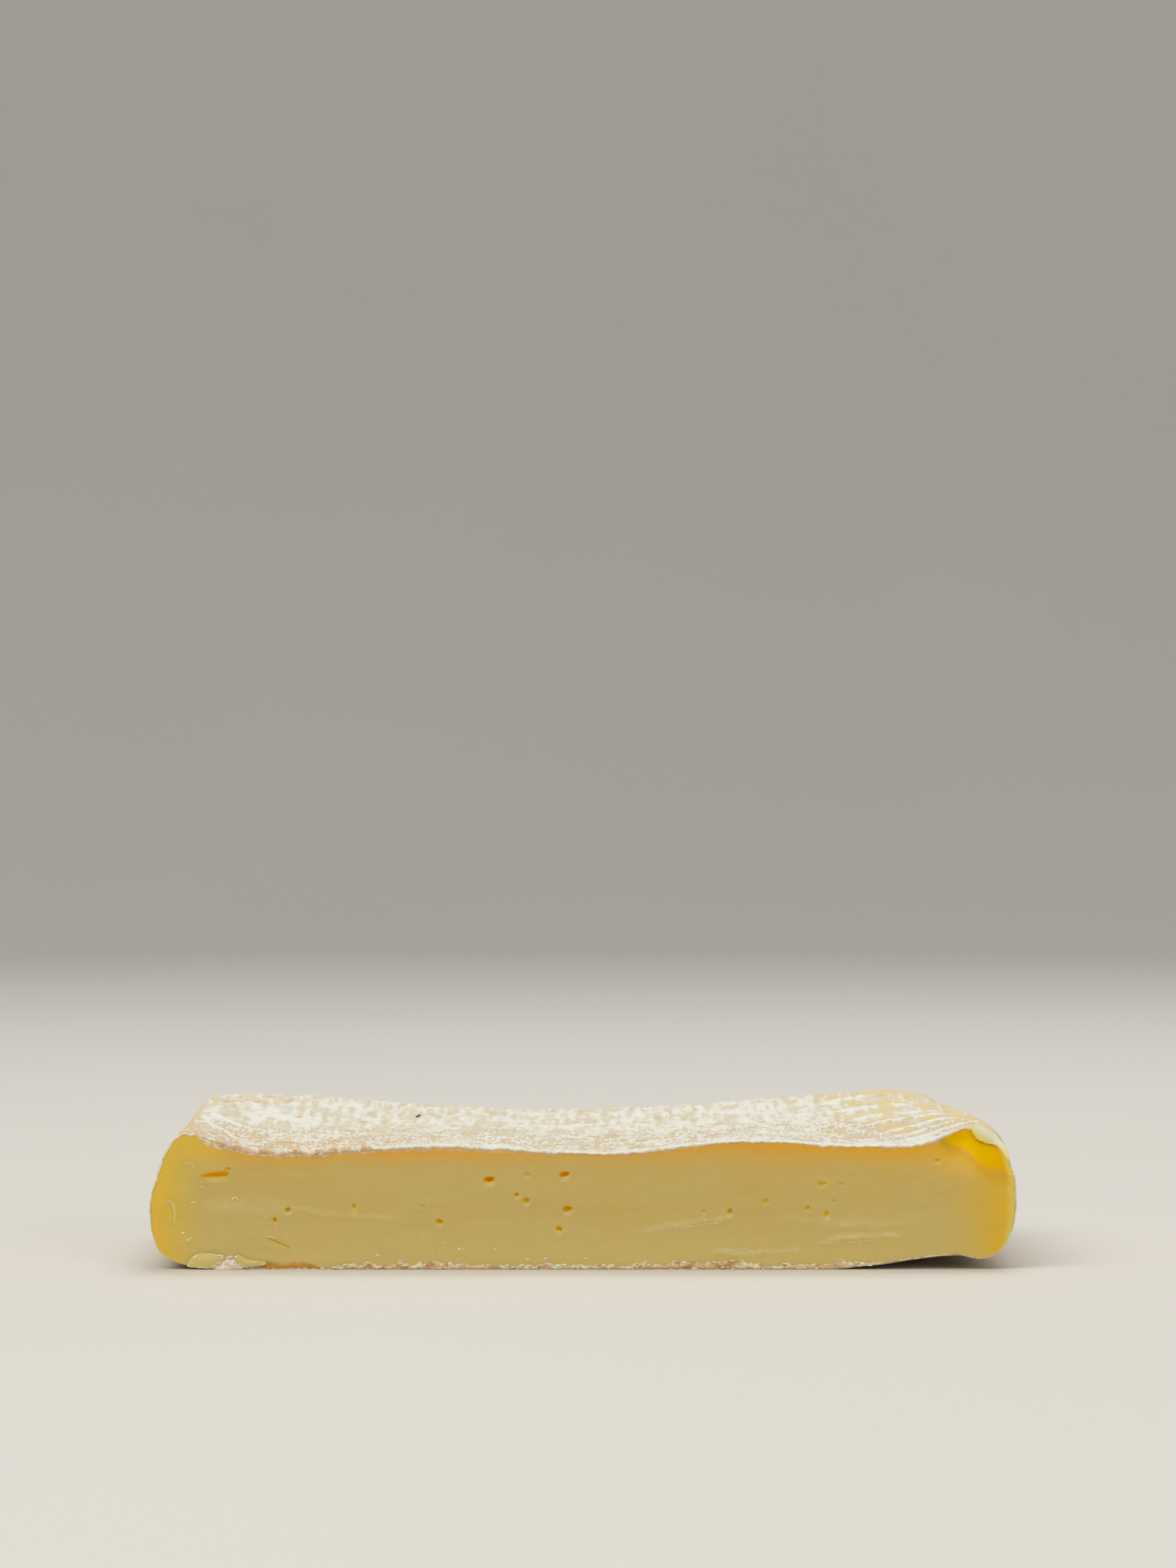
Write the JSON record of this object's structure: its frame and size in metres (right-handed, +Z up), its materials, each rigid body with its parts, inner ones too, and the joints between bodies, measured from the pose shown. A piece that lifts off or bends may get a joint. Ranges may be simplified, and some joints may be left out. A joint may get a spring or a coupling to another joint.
{
  "type": "half taleggio cheese",
  "caption": "Half of a square, flat, soft washed-rind cheese, cut through its middle: straw-yellow paste with small eyes under a thin, white-dusted tan rind, lying on its rind.",
  "frame": {"origin": "under the middle of the block's bounding box, on the surface that it lies on", "axes": "+X along the cut face, from its left end to its right as seen; +Y from the cut face back to the uncut rim; +Z up, from the bottom rind to the top rind"},
  "size_m": [0.2204, 0.112, 0.0399],
  "materials": {
    "cheese": "moist, slightly waxy straw-yellow paste, going golden under the rind, and a dry tan rind dusted with white mould"
  },
  "bodies": {
    "root": {"cheese_half": "cheese"}
  },
  "joints": []
}
